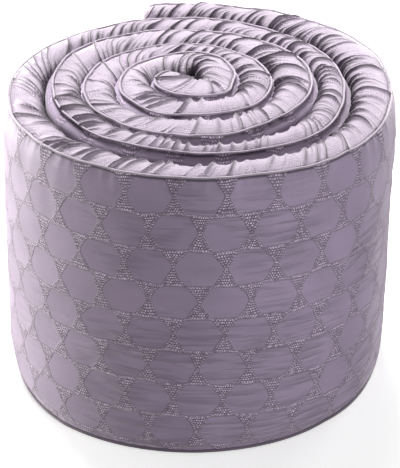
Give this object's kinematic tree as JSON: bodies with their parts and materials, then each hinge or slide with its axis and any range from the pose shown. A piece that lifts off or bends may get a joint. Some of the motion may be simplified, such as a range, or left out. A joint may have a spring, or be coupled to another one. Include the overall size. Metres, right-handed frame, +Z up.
{
  "type": "crib bumper",
  "caption": "Rolled crib bumper: a long quilted, padded fabric strip with piped edges, wound into a spiral and standing on its long edge.",
  "frame": {"origin": "under the middle of the roll's footprint, on the surface it stands on", "axes": "+Z up along the strip's width and the roll's axis; the strip's outer end is at +Y, and -Y faces the camera"},
  "size_m": [0.3907, 0.4197, 0.3165],
  "materials": {
    "quilted_cloth": "matte quilted woven cotton, mauve",
    "piping_cloth": "matte woven cotton, light mauve"
  },
  "bodies": {
    "root": {"padded_strip": "quilted_cloth", "piping_top": "piping_cloth", "piping_bottom": "piping_cloth"}
  },
  "joints": []
}
